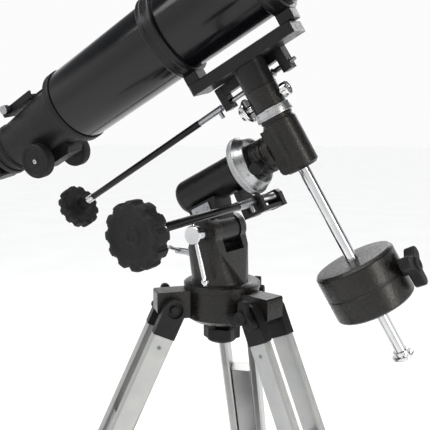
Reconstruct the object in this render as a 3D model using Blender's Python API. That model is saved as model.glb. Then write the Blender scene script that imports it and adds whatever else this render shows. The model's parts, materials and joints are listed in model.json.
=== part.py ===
import bpy
import bmesh
import math
from mathutils import Vector, Matrix

for _o in list(bpy.data.objects):
    bpy.data.objects.remove(_o, do_unlink=True)

# ---------------------------------------------------------------- dimensions
# All lengths below are in millimetres and are scaled to metres at the end.
MM = 0.001
OFF_X, OFF_Y = -94.515, -27.375  # puts the bounding box's bottom centre at the origin
HUB_Z = 605.0                # height of the tripod hub's top face above the floor

LATITUDE = 26.0              # polar axis above the horizon, degrees
HOUR = 12.8                  # hour axis turned from the meridian, degrees
DECL = -4.5                  # tube turned about the declination axis, degrees

HUB_R, HUB_H = 41.0, 36.0
BOSS_END, BOSS_HALF, BOSS_H = 75.0, 12.5, 30.0
LEG_AZ = (-129.5, -9.5, 110.5)
LEG_TILT = 25.0
HINGE_R, HINGE_Z = 58.0, -18.0
CAP_IN, CAP_OUT = 12.9, 23.9
RAIL_W, RAIL_TOP, RAIL_END = 24.0, 30.3, 560.0
INNER_W, INNER_TOP, INNER_END = 19.0, 130.0, 606.0
BRACE_AT = 330.0
TRAY_R = 96.0

BARREL_Z = 63.35             # latitude pivot above the hub
BARREL_R = 16.8
CROSS_X, CROSS_Z = 81.6, 157.2   # where polar and declination axes cross

RA_R = 19.7
RA_REAR, RA_FRONT = -146.5, -58.2
CIRCLE_R = 32.0
DEC_R = 17.0
SHAFT_R, SHAFT_END = 6.0, -239.0
WEIGHT_R, WEIGHT_TOP, WEIGHT_BOT = 42.0, -133.5, -186.5
TUBE_T = 156.5               # tube axis above the polar axis, along the declination axis
TUBE_R = 42.5
TUBE_REAR, TUBE_FRONT = -204.0, 478.0
DEW_R = 50.0
FOCUS_T, FOCUS_Q = -35.5, -268.0
KNOB_R = 28.0

# ---------------------------------------------------------------- frames
rad = math.radians


def frame(o, x, z):
    """4x4 placing local millimetres: origin o, local x and z directions."""
    x = Vector(x).normalized()
    z = Vector(z)
    z = (z - x * z.dot(x)).normalized()
    y = z.cross(x)
    m = Matrix.Identity(4)
    for i in range(3):
        m[i][0], m[i][1], m[i][2], m[i][3] = x[i], y[i], z[i], o[i]
    return m


def frame_z(o, z, x):
    """As frame(), but z is kept exact."""
    z = Vector(z).normalized()
    x = Vector(x)
    x = (x - z * x.dot(z)).normalized()
    return frame(o, x, z)


L, H, D = rad(LATITUDE), rad(HOUR), rad(DECL)
R0 = Vector((math.cos(L), 0, math.sin(L)))
U0 = Vector((-math.sin(L), 0, math.cos(L)))
YW = Vector((0, 1, 0))
ZW = Vector((0, 0, 1))
U = (U0 * math.cos(H) - YW * math.sin(H)).normalized()
M = R0.cross(U)
W = (R0 * math.cos(D) + M * math.sin(D)).normalized()
WM = W.cross(U)
C = Vector((CROSS_X, 0, CROSS_Z))
BAR = Vector((0, 0, BARREL_Z))

F_HUB = Matrix.Identity(4)
F_RA0 = frame(C, R0, U0)                       # polar housing: x polar, y east, z up
F_RA = frame(C, R0, U)                         # turns with the hour axis
F_TUBE = frame(C + U * TUBE_T, W, U)           # x along the tube, z away from the mount
F_BAR = frame_z(BAR, YW, (1, 0, 0))            # z along the latitude pivot

# slow-motion shafts: local z points from the worm towards the knob
RA_WORM_O = C - R0 * 57.0 - U0 * 38.2
V_RA = (-YW * math.cos(rad(3.5)) - U0 * math.sin(rad(3.5))).normalized()
F_RW = frame_z(RA_WORM_O, V_RA, R0)
DEC_WORM_O = C + U * 70.5 - M * 22.8
V_DEC = (-R0 * math.cos(rad(2.1)) - U * math.sin(rad(2.1))).normalized()
F_DW = frame_z(DEC_WORM_O, V_DEC, U)


def leg_frame(az):
    """Origin on the hinge bolt; x outwards across the leg, y sideways, z up the leg."""
    a, t = rad(az), rad(LEG_TILT)
    out = Vector((math.cos(a), math.sin(a), 0))
    o = out * HINGE_R + ZW * HINGE_Z
    return frame(o, out * math.cos(t) + ZW * math.sin(t), ZW * math.cos(t) - out * math.sin(t))


# ---------------------------------------------------------------- materials
def material(name, rgb, metal, rough):
    m = bpy.data.materials.new(name)
    m.use_nodes = True
    b = m.node_tree.nodes["Principled BSDF"]
    b.inputs["Base Color"].default_value = (*rgb, 1.0)
    b.inputs["Metallic"].default_value = metal
    b.inputs["Roughness"].default_value = rough
    m.diffuse_color = (*rgb, 1.0)
    return m


MAT = {
    "black_paint": material("black_paint", (0.012, 0.012, 0.014), 0.0, 0.3),
    "hammertone": material("hammertone", (0.03, 0.027, 0.024), 0.3, 0.35),
    "tube_gloss": material("tube_gloss", (0.008, 0.008, 0.010), 0.0, 0.12),
    "black_plastic": material("black_plastic", (0.015, 0.015, 0.017), 0.0, 0.5),
    "chrome": material("chrome", (0.8, 0.8, 0.8), 1.0, 0.08),
    "steel": material("steel", (0.55, 0.56, 0.58), 1.0, 0.3),
    "silver_dial": material("silver_dial", (0.6, 0.6, 0.6), 0.9, 0.35),
    "aluminium": material("aluminium", (0.62, 0.63, 0.62), 0.8, 0.35),
    "rubber": material("rubber", (0.02, 0.02, 0.02), 0.0, 0.8),
    "glass": material("glass", (0.15, 0.2, 0.3), 0.0, 0.03),
}


# ---------------------------------------------------------------- solids
def lathe(profile, seg=32, at=None):
    """Solid of revolution about local z. An open profile starts and ends on the axis;
    a profile that stays off the axis is closed on itself as a ring."""
    verts, rings = [], []
    for r, z in profile:
        if r < 1e-9:
            rings.append([len(verts)])
            verts.append((0.0, 0.0, z))
        else:
            rings.append(list(range(len(verts), len(verts) + seg)))
            for k in range(seg):
                a = 2 * math.pi * k / seg
                verts.append((r * math.cos(a), r * math.sin(a), z))
    faces = []
    n = len(rings)
    closed = profile[0][0] > 1e-9
    for i in range(n if closed else n - 1):
        a, b = rings[i], rings[(i + 1) % n]
        for k in range(seg):
            k2 = (k + 1) % seg
            if len(a) == 1 and len(b) == 1:
                continue
            if len(a) == 1:
                faces.append((a[0], b[k2], b[k]))
            elif len(b) == 1:
                faces.append((a[k], a[k2], b[0]))
            else:
                faces.append((a[k], a[k2], b[k2], b[k]))
    return place(verts, faces, at)


def prism(poly, z0, z1, at=None):
    n = len(poly)
    verts = [(x, y, z0) for x, y in poly] + [(x, y, z1) for x, y in poly]
    faces = [tuple(range(n))[::-1], tuple(range(n, 2 * n))]
    faces += [(k, (k + 1) % n, n + (k + 1) % n, n + k) for k in range(n)]
    return place(verts, faces, at)


def box(x0, x1, y0, y1, z0, z1, c=0.0, at=None):
    """Box; c chamfers the four edges along z."""
    if c:
        p = [(x0 + c, y0), (x1 - c, y0), (x1, y0 + c), (x1, y1 - c),
             (x1 - c, y1), (x0 + c, y1), (x0, y1 - c), (x0, y0 + c)]
    else:
        p = [(x0, y0), (x1, y0), (x1, y1), (x0, y1)]
    return prism(p, z0, z1, at)


def hull(points, at=None):
    bm = bmesh.new()
    for p in points:
        bm.verts.new(p)
    bmesh.ops.convex_hull(bm, input=bm.verts)
    loose = [v for v in bm.verts if not v.link_faces]
    bmesh.ops.delete(bm, geom=loose, context="VERTS")
    bmesh.ops.dissolve_limit(bm, angle_limit=rad(0.5), verts=bm.verts, edges=bm.edges)
    bm.verts.index_update()
    verts = [tuple(v.co) for v in bm.verts]
    faces = [tuple(v.index for v in f.verts) for f in bm.faces]
    bm.free()
    return place(verts, faces, at)


def place(verts, faces, at):
    m = at if at is not None else Matrix.Identity(4)
    return [tuple(m @ Vector(v)) for v in verts], faces


def to_object(solid, name="tmp"):
    verts, faces = solid
    bm = bmesh.new()
    vs = [bm.verts.new(v) for v in verts]
    for f in faces:
        bm.faces.new([vs[i] for i in f])
    bmesh.ops.recalc_face_normals(bm, faces=bm.faces)
    me = bpy.data.meshes.new(name)
    bm.to_mesh(me)
    bm.free()
    ob = bpy.data.objects.new(name, me)
    bpy.context.scene.collection.objects.link(ob)
    return ob


def combine(a, b, operation):
    mod = a.modifiers.new("b", "BOOLEAN")
    mod.operation = operation
    mod.object = b
    mod.solver = "EXACT"
    dg = bpy.context.evaluated_depsgraph_get()
    me = bpy.data.meshes.new_from_object(a.evaluated_get(dg))
    a.modifiers.clear()
    a.data = me
    bpy.data.objects.remove(b, do_unlink=True)
    return a


NODES = []


def node(name, solids, mat, cuts=(), axis=None, smooth=30):
    """One named sub-part from solids in hub millimetres, less its cuts.
    axis is the point its origin stands on."""
    ob = to_object(solids[0], name)
    for s in solids[1:]:
        combine(ob, to_object(s), "UNION")
    for s in cuts:
        combine(ob, to_object(s), "DIFFERENCE")
    ob.name = name
    ob.data.name = name
    bm = bmesh.new()
    bm.from_mesh(ob.data)
    shift = Vector((OFF_X, OFF_Y, HUB_Z))
    o = (Vector(axis) if axis is not None else Vector((0, 0, 0))) + shift
    for v in bm.verts:
        v.co = (v.co + shift - o) * MM
    bmesh.ops.remove_doubles(bm, verts=bm.verts, dist=0.000005)
    bmesh.ops.dissolve_limit(bm, angle_limit=rad(0.3), verts=bm.verts, edges=bm.edges)
    bmesh.ops.recalc_face_normals(bm, faces=bm.faces)
    bm.to_mesh(ob.data)
    bm.free()
    ob.location = o * MM
    ob.data.materials.clear()
    ob.data.materials.append(MAT[mat])
    ob.data.shade_smooth()
    ob.data.set_sharp_from_angle(angle=rad(smooth))
    NODES.append(ob)
    return ob


def circle(cx, cy, r, n, a0=0.0):
    return [(cx + r * math.cos(a0 + 2 * math.pi * k / n), cy + r * math.sin(a0 + 2 * math.pi * k / n)) for k in range(n)]


def cyl(r, z0, z1, seg=24, at=None, c=0.0):
    if c:
        return lathe([(0, z0), (r - c, z0), (r, z0 + c), (r, z1 - c), (r - c, z1), (0, z1)], seg, at)
    return lathe([(0, z0), (r, z0), (r, z1), (0, z1)], seg, at)


def wing_knob(at, r, hub_r, z0, z1, hub_z0, hub_z1):
    """Three-winged clamp knob about local z."""
    pts = []
    for k in range(3):
        a = 2 * math.pi * k / 3
        for da, rr in ((-1.02, 0.42), (-0.3, 0.93), (0.0, 1.0), (0.3, 0.93)):
            pts.append((r * rr * math.cos(a + da), r * rr * math.sin(a + da)))
    return [prism(pts, z0, z1, at), cyl(hub_r, hub_z0, hub_z1, 14, at)]


def lobed(r, depth, lobes, per=4):
    pts = []
    for k in range(lobes):
        for j, f in enumerate((0.0, 1.0, 1.0, 0.35)[:per]):
            a = 2 * math.pi * (k + (j + 0.1) / per) / lobes
            pts.append(((r - depth * (1 - f)) * math.cos(a), (r - depth * (1 - f)) * math.sin(a)))
    return pts


# ================================================================ tripod
hub_solids = [lathe([(0, -HUB_H), (34, -HUB_H), (HUB_R, -HUB_H + 5), (HUB_R, -0.3), (0, -0.3)], 40)]
hub_cuts = [cyl(5.4, -HUB_H - 1, 1, 20)]
for az in LEG_AZ:
    a = rad(az)
    fz = frame(Vector((0, 0, 0)), (math.cos(a), math.sin(a), 0), ZW)
    hub_solids.append(hull([(x, y, z) for (x, z) in ((20, -BOSS_H), (20, -0.3), (BOSS_END - 1.5, -0.3), (BOSS_END, -1.8), (BOSS_END, -BOSS_H + 8), (BOSS_END - 9, -BOSS_H))
                            for y in (-BOSS_HALF, BOSS_HALF)], fz))
    fb = leg_frame(az)
    fy = frame_z(fb.translation, Vector((-math.sin(a), math.cos(a), 0)), ZW)
    hub_cuts.append(cyl(3.4, -14, 14, 16, fy))
node("tripod_hub", hub_solids, "hammertone", hub_cuts)

# central bolt with its hand knob under the hub; the threaded end stands in the mount base
node("azimuth_knob", [prism(lobed(20.5, 3.2, 6), -57.5, -45.5), cyl(9, -46, -HUB_H - 0.4, 24),
                      lathe([(0, -61), (15, -61), (18, -57.4), (0, -57.4)], 24),
                      cyl(4.9, -HUB_H - 1, 14.5, 20)], "black_plastic", axis=(0, 0, 0))

for i, az in enumerate(LEG_AZ, 1):
    fl = leg_frame(az)
    a = rad(az)
    side = Vector((-math.sin(a), math.cos(a), 0))
    fy = frame_z(fl.translation, side, ZW)          # z across the leg through the bolt
    h = RAIL_W / 2
    for tag, s in (("a", 1), ("b", -1)):
        # outline in the leg's x (outwards) and z (up the leg)
        arc = [(h * math.cos(t), h * math.sin(t)) for t in [math.pi * k / 6 for k in range(7)]]
        prof = arc + [(-h, -30.0), (h, -30.0)]
        y0, y1 = (CAP_IN, CAP_OUT) if s > 0 else (-CAP_OUT, -CAP_IN)
        m = fl @ Matrix(((1, 0, 0, 0), (0, 0, 1, 0), (0, 1, 0, 0), (0, 0, 0, 1)))
        solids = [prism(prof, y0, y1, m)]
        cuts = [cyl(3.4, y0 - 1 if s > 0 else y0 - 1, y1 + 1, 16, fy)]
        if s > 0:
            cuts.append(cyl(8.6, CAP_OUT - 4.2, CAP_OUT + 1, 20, fy))
        node("leg%d_cap_%s" % (i, tag), solids, "black_plastic", cuts)
    # upper section: two extruded rails joined by the clamp bracket at their lower end
    c = 2.2
    rails = []
    for y0, y1 in ((CAP_IN + 0.4, CAP_OUT - 0.2), (-CAP_OUT + 0.2, -CAP_IN - 0.4)):
        g0 = (y0 + y1) / 2
        ys = (y0, y1)
        p = [(-h + c, ys[0]), (h - c, ys[0]), (h, ys[0] + c), (h, g0 - 1.2), (h - 1.1, g0 - 0.5), (h - 1.1, g0 + 0.5), (h, g0 + 1.2), (h, ys[1] - c),
             (h - c, ys[1]), (-h + c, ys[1]), (-h, ys[1] - c), (-h, ys[0] + c)]
        rails.append(prism(p, -RAIL_END, -RAIL_TOP, fl))
    node("leg%d_rails" % i, rails + [box(h - 4, h + 3.0, -CAP_OUT, CAP_OUT, -RAIL_END - 4, -RAIL_END + 34, 1.5, fl),
                                    box(-h - 3.0, -h + 4, -CAP_OUT, CAP_OUT, -RAIL_END - 4, -RAIL_END + 34, 1.5, fl),
                                    cyl(3.0, h + 2.0, h + 10, 10, fl @ Matrix.Translation((0, 0, -RAIL_END + 15)) @ Matrix.Rotation(rad(90), 4, "Y")),
                                    prism(circle(0, 0, 9.0, 12), h + 9, h + 16, fl @ Matrix.Translation((0, 0, -RAIL_END + 15)) @ Matrix.Rotation(rad(90), 4, "Y"))],
         "aluminium")
    # sliding lower section and its foot
    w = INNER_W / 2
    node("leg%d_inner" % i, [box(-7.5, 7.5, -CAP_IN + 0.1, CAP_IN - 0.1, -INNER_END, -INNER_TOP, 1.5, fl)], "aluminium")
    axis_dir = (fl.to_3x3() @ Vector((0, 0, -1)))
    end = fl @ Vector((0, 0, -INNER_END - 0.3))
    floor = -HUB_Z
    t = (floor - end.z) / axis_dir.z
    sole = end + axis_dir * t
    pts = [tuple(fl @ Vector((x, y, -INNER_END - 0.3))) for x in (-11, 11) for y in (-13, 13)]
    pts += [(sole.x + x, sole.y + y, floor) for x, y in circle(0, 0, 15.0, 12)]
    node("leg%d_foot" % i, [hull(pts)], "rubber")
    # hinge bolt with a hex head on one side and a wing knob on the other
    hexa = circle(0, 0, 5.4, 6)
    flip = fy @ Matrix.Rotation(rad(180), 4, "X")
    node("leg%d_hinge_bolt" % i, [cyl(2.9, -27.5, CAP_OUT - 3.6, 14, fy), prism(hexa, CAP_OUT - 3.9, CAP_OUT - 0.2, fy)]
         + wing_knob(flip, 17.5, 7.0, 26.0, 34.0, 24.3, 38.0), "black_plastic", axis=fl.translation)
    # spreader arm from the tray to the rails
    rr = HINGE_R + math.sin(rad(LEG_TILT)) * BRACE_AT
    zz = HINGE_Z - math.cos(rad(LEG_TILT)) * BRACE_AT
    fr = frame(Vector((0, 0, zz)), (math.cos(a), math.sin(a), 0), ZW)
    reach = rr - (h + 0.35) / math.cos(rad(LEG_TILT))
    arm = [box(44, reach - 14, -7, 7, -4.9, -2.4, 0, fr)]
    tab = []
    for y0, y1 in ((13.6, 23.4), (-23.4, -13.6)):
        tab.append(hull([(x, y, z) for y in (y0, y1) for x, z in ((reach - 26, -7.0), (reach - 26, 2.0), (reach - 26 + 26 - 2.0 * math.tan(rad(LEG_TILT)), 2.0), (reach + 7.0 * math.tan(rad(LEG_TILT)), -7.0))], fr))
    arm += [box(reach - 25, reach - 16.5, -20, 20, -6, 1, 0, fr)] + tab
    node("brace_%d" % i, arm, "black_plastic")

zz = HINGE_Z - math.cos(rad(LEG_TILT)) * BRACE_AT
pts = []
for k, az in enumerate(LEG_AZ):
    for da, r in ((-22, TRAY_R), (0, TRAY_R + 6), (22, TRAY_R), (44, TRAY_R * 0.66), (60, TRAY_R * 0.60), (76, TRAY_R * 0.66)):
        pts.append((r * math.cos(rad(az + da)), r * math.sin(rad(az + da))))
node("accessory_tray", [prism(pts, zz - 2.0, zz + 2.0), cyl(15, zz + 1.5, zz + 6.0, 24), cyl(6, zz - 6.0, zz + 1, 16)], "black_plastic")

# ================================================================ mount base (azimuth)
flange = lathe([(0, 0), (42.3, 0), (42.3, 5.2), (40.0, 7.0), (37.0, 8.2), (0, 8.2)], 32)
low = [(2 + 31 * math.cos(t), -6 + 31 * math.sin(t), 7.5) for t in [2 * math.pi * k / 16 for k in range(16)]]
top = [(x, y, 58.0) for x in (-15.5, 15.5) for y in (-37, 24)] + [(x, y, 46.0) for x in (-20, 20) for y in (-35, 22)]
f_slot = (-23.0, 12.0)
t_rod = 33.0
base_cuts = [box(-45, 45, f_slot[0], f_slot[1], 43.0, 90, 0),
             cyl(4.0, 10, 60, 16, frame_z(Vector((0, 0, t_rod)), Vector((-1, 0, 0)), ZW)),
             cyl(5.4, -1, 15.2, 20)]
node("mount_base", [flange, hull(low + top), cyl(BARREL_R + 0.7, -37, 24, 28, F_BAR, 1.2)], "hammertone",
     base_cuts + [cyl(6.4, -45, 45, 20, F_BAR)], axis=(0, 0, 0))

# latitude lock lever on the pivot's near end
tip = Vector((13.1, -50, 14.7)) - Vector((0, -50, BARREL_Z))
f_lev = frame_z(Vector((0, 0, BARREL_Z)), -YW, tip)      # z towards the lever side, x down the rod
f_rod = frame_z(Vector((0, -50.5, BARREL_Z)), tip, YW)
node("latitude_lever", [lathe([(0, -23.4), (6.0, -23.4), (6.0, 37.4), (7.5, 37.4), (7.5, 44.0), (9.9, 45.0), (9.9, 54.6), (9.1, 55.6), (0, 55.6)], 24, f_lev),
                        cyl(2.3, 0, 50.0, 10, f_rod),
                        lathe([(0, 45.2)] + [(4.2 * math.sin(t), 49.6 - 4.4 * math.cos(t)) for t in [math.pi * k / 6 for k in range(1, 6)]] + [(0, 54.0)], 12, f_rod),
                        cyl(2.9, -12.6, 3.0, 12, f_rod, 0.6)], "chrome", axis=(0, 0, BARREL_Z))

# latitude adjusting screw with its tommy bar
f_tb = frame_z(Vector((0, 0, t_rod)), Vector((-1, 0, 0)), ZW)
f_bar = f_tb @ Matrix.Translation((0, 0, 58.5)) @ Matrix.Rotation(rad(21), 4, "Z") @ Matrix.Rotation(rad(90), 4, "X")
node("latitude_screw", [cyl(3.6, 12, 64.0, 18, f_tb, 0.5), cyl(2.2, -21, 21, 12, f_bar, 0.5)], "steel", axis=(0, 0, t_rod))

# ================================================================ polar (right ascension) housing
f_ra = F_RA0 @ Matrix.Rotation(rad(90), 4, "Y")      # z along +x of the polar frame
housing = lathe([(0, RA_REAR), (RA_R - 4.2, RA_REAR), (RA_R - 1.3, RA_REAR + 1.6), (RA_R, RA_REAR + 5.0), (RA_R, RA_FRONT),
                 (18.0, RA_FRONT), (18.0, -47.3), (8.4, -47.3), (8.4, -78.0), (0, -78.0)], 32, f_ra)
lug = cyl(16.2, -22.6, 11.6, 24, F_BAR)
web = hull([tuple(BAR + R0 * x + YW * y + U0 * z) for y in (-21.5, 10.5) for x, z in ((-14.5, 2), (14.0, 2), (20, 33), (-19, 33))])
cap_bolt = cyl(6.35, -26, 26, 20, F_BAR)
node("polar_housing", [housing, web, lug], "black_paint", [cap_bolt], axis=tuple(BAR))

# latitude scale plate on the west side of the web
fp = frame(BAR + U0 * 24.5 - R0 * 1.0 - YW * 21.85, R0, U0)
plate = box(-12, 12, -1.2, 0.0, -5.5, 5.5, 0, fp)
scr = [cyl(2.0, 0, 1.0, 12, fp @ Matrix.Translation((x, -1.0, 0)) @ Matrix.Rotation(rad(90), 4, "X")) for x in (-8.0, 8.0)]
node("latitude_plate", [plate] + scr, "steel")

# hour circle: rim, conical numbered face, dished front
node("hour_circle", [lathe([(18.3, -57.8), (CIRCLE_R - 0.6, -57.8), (CIRCLE_R, -57.2), (CIRCLE_R, -52.0), (26.0, -41.2),
                            (24.3, -41.2), (23.2, -46.5), (18.3, -47.0)], 36, f_ra)], "silver_dial", axis=tuple(C))

# ---------------------------------------------------------------- hour-axis slow motion
yoke = [(-8.5, -13.4), (8.5, -13.4), (8.5, 2.0), (5.5, 6.2), (-5.5, 6.2), (-8.5, 2.0)]
node("hour_worm_carrier", [prism(yoke, 5.3, 12.0, F_RW), prism(yoke, -38.0, -29.0, F_RW),
                           box(-7.9, 7.9, -12.9, -8.6, -33.0, 10.0, 0, F_RW),
                           box(-19.5, -6.0, -12.7, -8.9, -13.5, 9.5, 0, F_RW),
                           box(-20.0, -13.0, -13.2, 18.0, -14.0, 10.0, 0, F_RW)], "black_paint", [cyl(3.4, -45, 20, 16, F_RW)])
f_rs = F_RW @ Matrix.Translation((0, 0, 20.0)) @ Matrix.Rotation(rad(90), 4, "X")
node("hour_worm", [lathe([(0, -49.0), (2.2, -49.0), (2.2, -38.4), (3.0, -38.4), (3.0, -28.6), (5.0, -28.6), (5.0, 4.9), (3.0, 4.9), (3.0, 14.0), (4.6, 14.0), (4.6, 46.0), (0, 46.0)], 14, F_RW),
                   cyl(2.5, 3.0, 10.3, 12, f_rs)], "steel", axis=tuple(RA_WORM_O))


def flex_shaft(z0, z1, f):
    """Stiff coiled drive sleeve with the ferrule that holds its knob."""
    return [lathe([(0, z0), (4.0, z0), (4.0, z1 - 12.6), (4.7, z1 - 12.0), (4.7, z1), (0, z1)], 16, f)]


def scalloped_knob(z0, f):
    """Hand knob: hub, twelve stepped lobes and a dished face."""
    return [cyl(9.0, z0, z0 + 13.0, 20, f), prism(lobed(KNOB_R, 2.6, 12), z0 + 11.0, z0 + 27.0, f)]


def scalloped_cuts(z0, f):
    return [lathe([(0, z0 + 24.6), (13.0, z0 + 24.6), (20.5, z0 + 28.0), (0, z0 + 28.0)], 24, f)]


node("hour_flex_shaft", flex_shaft(46.4, 178.0, F_RW), "rubber", axis=tuple(RA_WORM_O))
node("hour_knob", scalloped_knob(178.4, F_RW), "black_plastic", scalloped_cuts(178.4, F_RW), axis=tuple(RA_WORM_O))

# ================================================================ declination housing, turns with the hour axis
f_dx = F_RA @ Matrix.Rotation(rad(90), 4, "Y")
neck = lathe([(0, -76.0), (8.0, -76.0), (8.0, -46.0), (19.0, -46.0), (19.0, -26.4), (17.3, -25.8), (17.3, -21.2), (20.3, -21.0), (20.3, -15.6), (0, -15.6)], 28, f_dx)
block = hull([(x, y, z) for y in (-17.3, 17.3) for x, z in ((-16.3, -21.5), (-15.0, -24.8), (-12.0, -26.4), (4.0, -26.4), (4.0, 22.4), (-16.3, 22.4))], F_RA)
barrel = lathe([(0, -28.0), (15.0, -28.0), (18.0, -25.0), (18.0, 24.0), (17.0, 24.0), (17.0, 29.7), (15.3, 29.7), (15.3, 39.9), (DEC_R, 39.9),
                (DEC_R, 61.7), (8.4, 61.7), (8.4, 45.0), (0, 45.0)], 28, F_RA)
node("declination_housing", [neck, block, barrel], "hammertone", [cyl(6.35, -30, -12, 20, F_RA)], axis=tuple(C))
node("declination_circle", [lathe([(15.7, 30.1), (19.0, 30.1), (19.0, 39.5), (15.7, 39.5)], 32, F_RA)], "silver_dial", axis=tuple(C))

# lock screws of the two axes
f_dl = F_RA @ Matrix.Translation((0, 0, 48.5)) @ Matrix.Rotation(rad(-90), 4, "Y")
node("declination_lock", [lathe([(0, 17.5), (4.5, 17.5), (4.5, 21.5), (12.6, 21.5), (13.0, 22.5), (11.5, 25.0), (8.6, 29.0), (7.6, 31.5), (0, 31.8)], 20, f_dl)], "chrome",
     axis=tuple(C + U * 48.5))
f_dc = F_RA @ Matrix.Translation((0, 0, 48.5)) @ Matrix.Rotation(rad(90), 4, "Y")
node("declination_stop", [lathe([(0, 17.5), (4.0, 17.5), (4.0, 19.5), (7.5, 19.5), (7.5, 25.5), (6.8, 26.5), (0, 26.5)], 20, f_dc)], "chrome",
     axis=tuple(C + U * 48.5))
f_hl = F_RA @ Matrix.Translation((-33.0, 0, -6.0)) @ Matrix.Rotation(rad(90), 4, "X")
node("hour_lock", [lathe([(0, 19.5), (3.0, 19.5), (3.0, 21.0), (6.5, 21.0), (6.5, 30.0), (5.5, 31.0), (0, 31.0)], 20, f_hl)], "black_plastic",
     axis=tuple(F_RA @ Vector((-33.0, 0, -6.0))))

# counterweight shaft with its safety cap, the weight and its clamp knob
node("weight_shaft", [lathe([(0, -249.0), (8.0, -249.0), (8.0, -246.2), (11.7, -246.2), (11.7, -243.4), (8.5, -243.0), (8.5, SHAFT_END), (SHAFT_R, SHAFT_END),
                             (SHAFT_R, -12.5), (0, -12.5)], 20, F_RA)], "chrome", axis=tuple(C))
mid = (WEIGHT_TOP + WEIGHT_BOT) / 2
f_wk = F_RA @ Matrix.Translation((0, 0, mid)) @ Matrix.Rotation(rad(90), 4, "Y")
node("counterweight", [lathe([(6.35, WEIGHT_BOT), (39.5, WEIGHT_BOT), (WEIGHT_R, WEIGHT_BOT + 2.0), (WEIGHT_R, WEIGHT_TOP - 2.5), (40.0, WEIGHT_TOP), (6.35, WEIGHT_TOP)], 32, F_RA)], "hammertone", [cyl(3.5, 10, 50, 14, f_wk)],
     axis=tuple(C + U * mid))
node("weight_knob", wing_knob(f_wk, 22.0, 7.5, 47.0, 58.0, 42.6, 60.0) + [cyl(3.0, 16.0, 44.0, 12, f_wk)], "black_plastic", axis=tuple(C + U * mid))

# ================================================================ saddle, turns with the declination axis
F_SAD = frame(C, W, U)
sx, sy = (61.0, 59.0), (20.0, 18.0)
saddle = [lathe([(0, 47.0), (8.0, 47.0), (8.0, 62.0), (DEC_R, 62.0), (DEC_R, 88.5), (0, 88.5)], 32, F_SAD),
          hull([(x * sx[0], y * sy[1], z) for x in (-1, 1) for y in (-1, 1) for z in (88.0, 99.0)]
               + [(x * sx[1], y * sy[0], z) for x in (-1, 1) for y in (-1, 1) for z in (88.0, 99.0)]
               + [(x * sx[1], y * sy[1], 100.0) for x in (-1, 1) for y in (-1, 1)], F_SAD),
          box(-7.0, 18.5, -6.5, 7.5, 47.0, 56.0, 0, F_DW), box(-7.0, 18.5, -6.5, 7.5, -32.0, -22.0, 0, F_DW),
          box(8.0, 19.0, -6.0, 7.1, -31.5, 55.5, 0, F_DW)]
node("saddle", saddle, "black_paint", [cyl(3.3, -40, 70, 16, F_DW)], axis=tuple(C))
f_ds = F_DW @ Matrix.Translation((0, 0, 66.0)) @ Matrix.Rotation(rad(-90), 4, "Y")
node("declination_worm", [lathe([(0, -38.0), (2.0, -38.0), (2.0, -32.5), (2.8, -32.5), (2.8, -12.0), (4.5, -11.0), (4.5, 14.0), (2.8, 15.0), (2.8, 57.0), (2.2, 57.0), (2.2, 61.0), (3.7, 61.0), (3.7, 95.0), (0, 95.0)], 14, F_DW),
                          cyl(2.4, 2.6, 11.0, 12, f_ds)], "steel", axis=tuple(DEC_WORM_O))
node("declination_flex_shaft", flex_shaft(95.4, 302.0, F_DW), "rubber", axis=tuple(DEC_WORM_O))
node("declination_knob", scalloped_knob(302.4, F_DW), "black_plastic", scalloped_cuts(302.4, F_DW), axis=tuple(DEC_WORM_O))

# ================================================================ optical tube, on the saddle
f_tx = F_TUBE @ Matrix.Rotation(rad(90), 4, "Y")
for tag, q in (("rear", -57.0), ("front", 57.0)):
    f_rg = F_TUBE @ Matrix.Translation((q, 0, 50.5)) @ Matrix.Rotation(rad(90), 4, "X")
    node("tube_ring_" + tag, [lathe([(42.0, q - 8.5), (46.8, q - 8.5), (46.8, q + 8.5), (42.0, q + 8.5)], 40, f_tx),
                              box(q - 8.0, q + 8.0, -11, 11, -56.2, -44.5, 0, F_TUBE), box(q - 6.5, q + 6.5, -7.5, 7.5, 45.0, 56.0, 0, F_TUBE),
                              cyl(2.2, 5.0, 12.0, 10, f_rg), cyl(6.5, 10.5, 18.0, 12, f_rg)],
         "black_paint", [cyl(TUBE_R + 0.35, q - 12, q + 12, 40, f_tx)])
node("main_tube", [lathe([(41.0, TUBE_REAR + 0.3), (TUBE_R, TUBE_REAR + 0.3), (TUBE_R, TUBE_FRONT - 0.3), (41.0, TUBE_FRONT - 0.3)], 40, f_tx)], "tube_gloss")
node("rear_cell", [lathe([(30.0, -214.0), (42.5, -214.0), (44.0, -212.5), (44.0, TUBE_REAR), (40.6, TUBE_REAR), (40.6, -190.0), (37.0, -190.0), (37.0, -210.0), (30.0, -210.0)], 32, f_tx)],
     "black_plastic")
node("focuser_body", [lathe([(26.4, -318.0), (31.0, -318.0), (31.0, -312.0), (29.5, -311.0), (33.5, -246.0), (36.0, -214.4), (26.4, -214.4)], 36, f_tx),
                      hull([(x, y, z) for y in (-14.0, 14.0) for x, z in ((-292, -29), (-292, -40), (-286, -44), (-242, -44), (-236, -38), (-236, -29))], F_TUBE)],
     "black_plastic", [cyl(3.5, -20, 20, 14, F_TUBE @ Matrix.Translation((FOCUS_Q, 0, FOCUS_T)) @ Matrix.Rotation(rad(90), 4, "X")), cyl(26.1, -330, -200, 36, f_tx)])
kp = [(0, -41.4), (18.5, -41.4), (20.0, -40.0), (20.0, -28.5), (8.0, -28.5), (8.0, -17.0), (3.0, -17.0)]
f_pn = F_TUBE @ Matrix.Translation((FOCUS_Q, 0, FOCUS_T)) @ Matrix.Rotation(rad(90), 4, "X")
node("focus_knobs", [lathe(kp + [(r, -z) for r, z in reversed(kp)], 24, f_pn)], "black_plastic", axis=tuple(F_TUBE @ Vector((FOCUS_Q, 0, FOCUS_T))))
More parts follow.
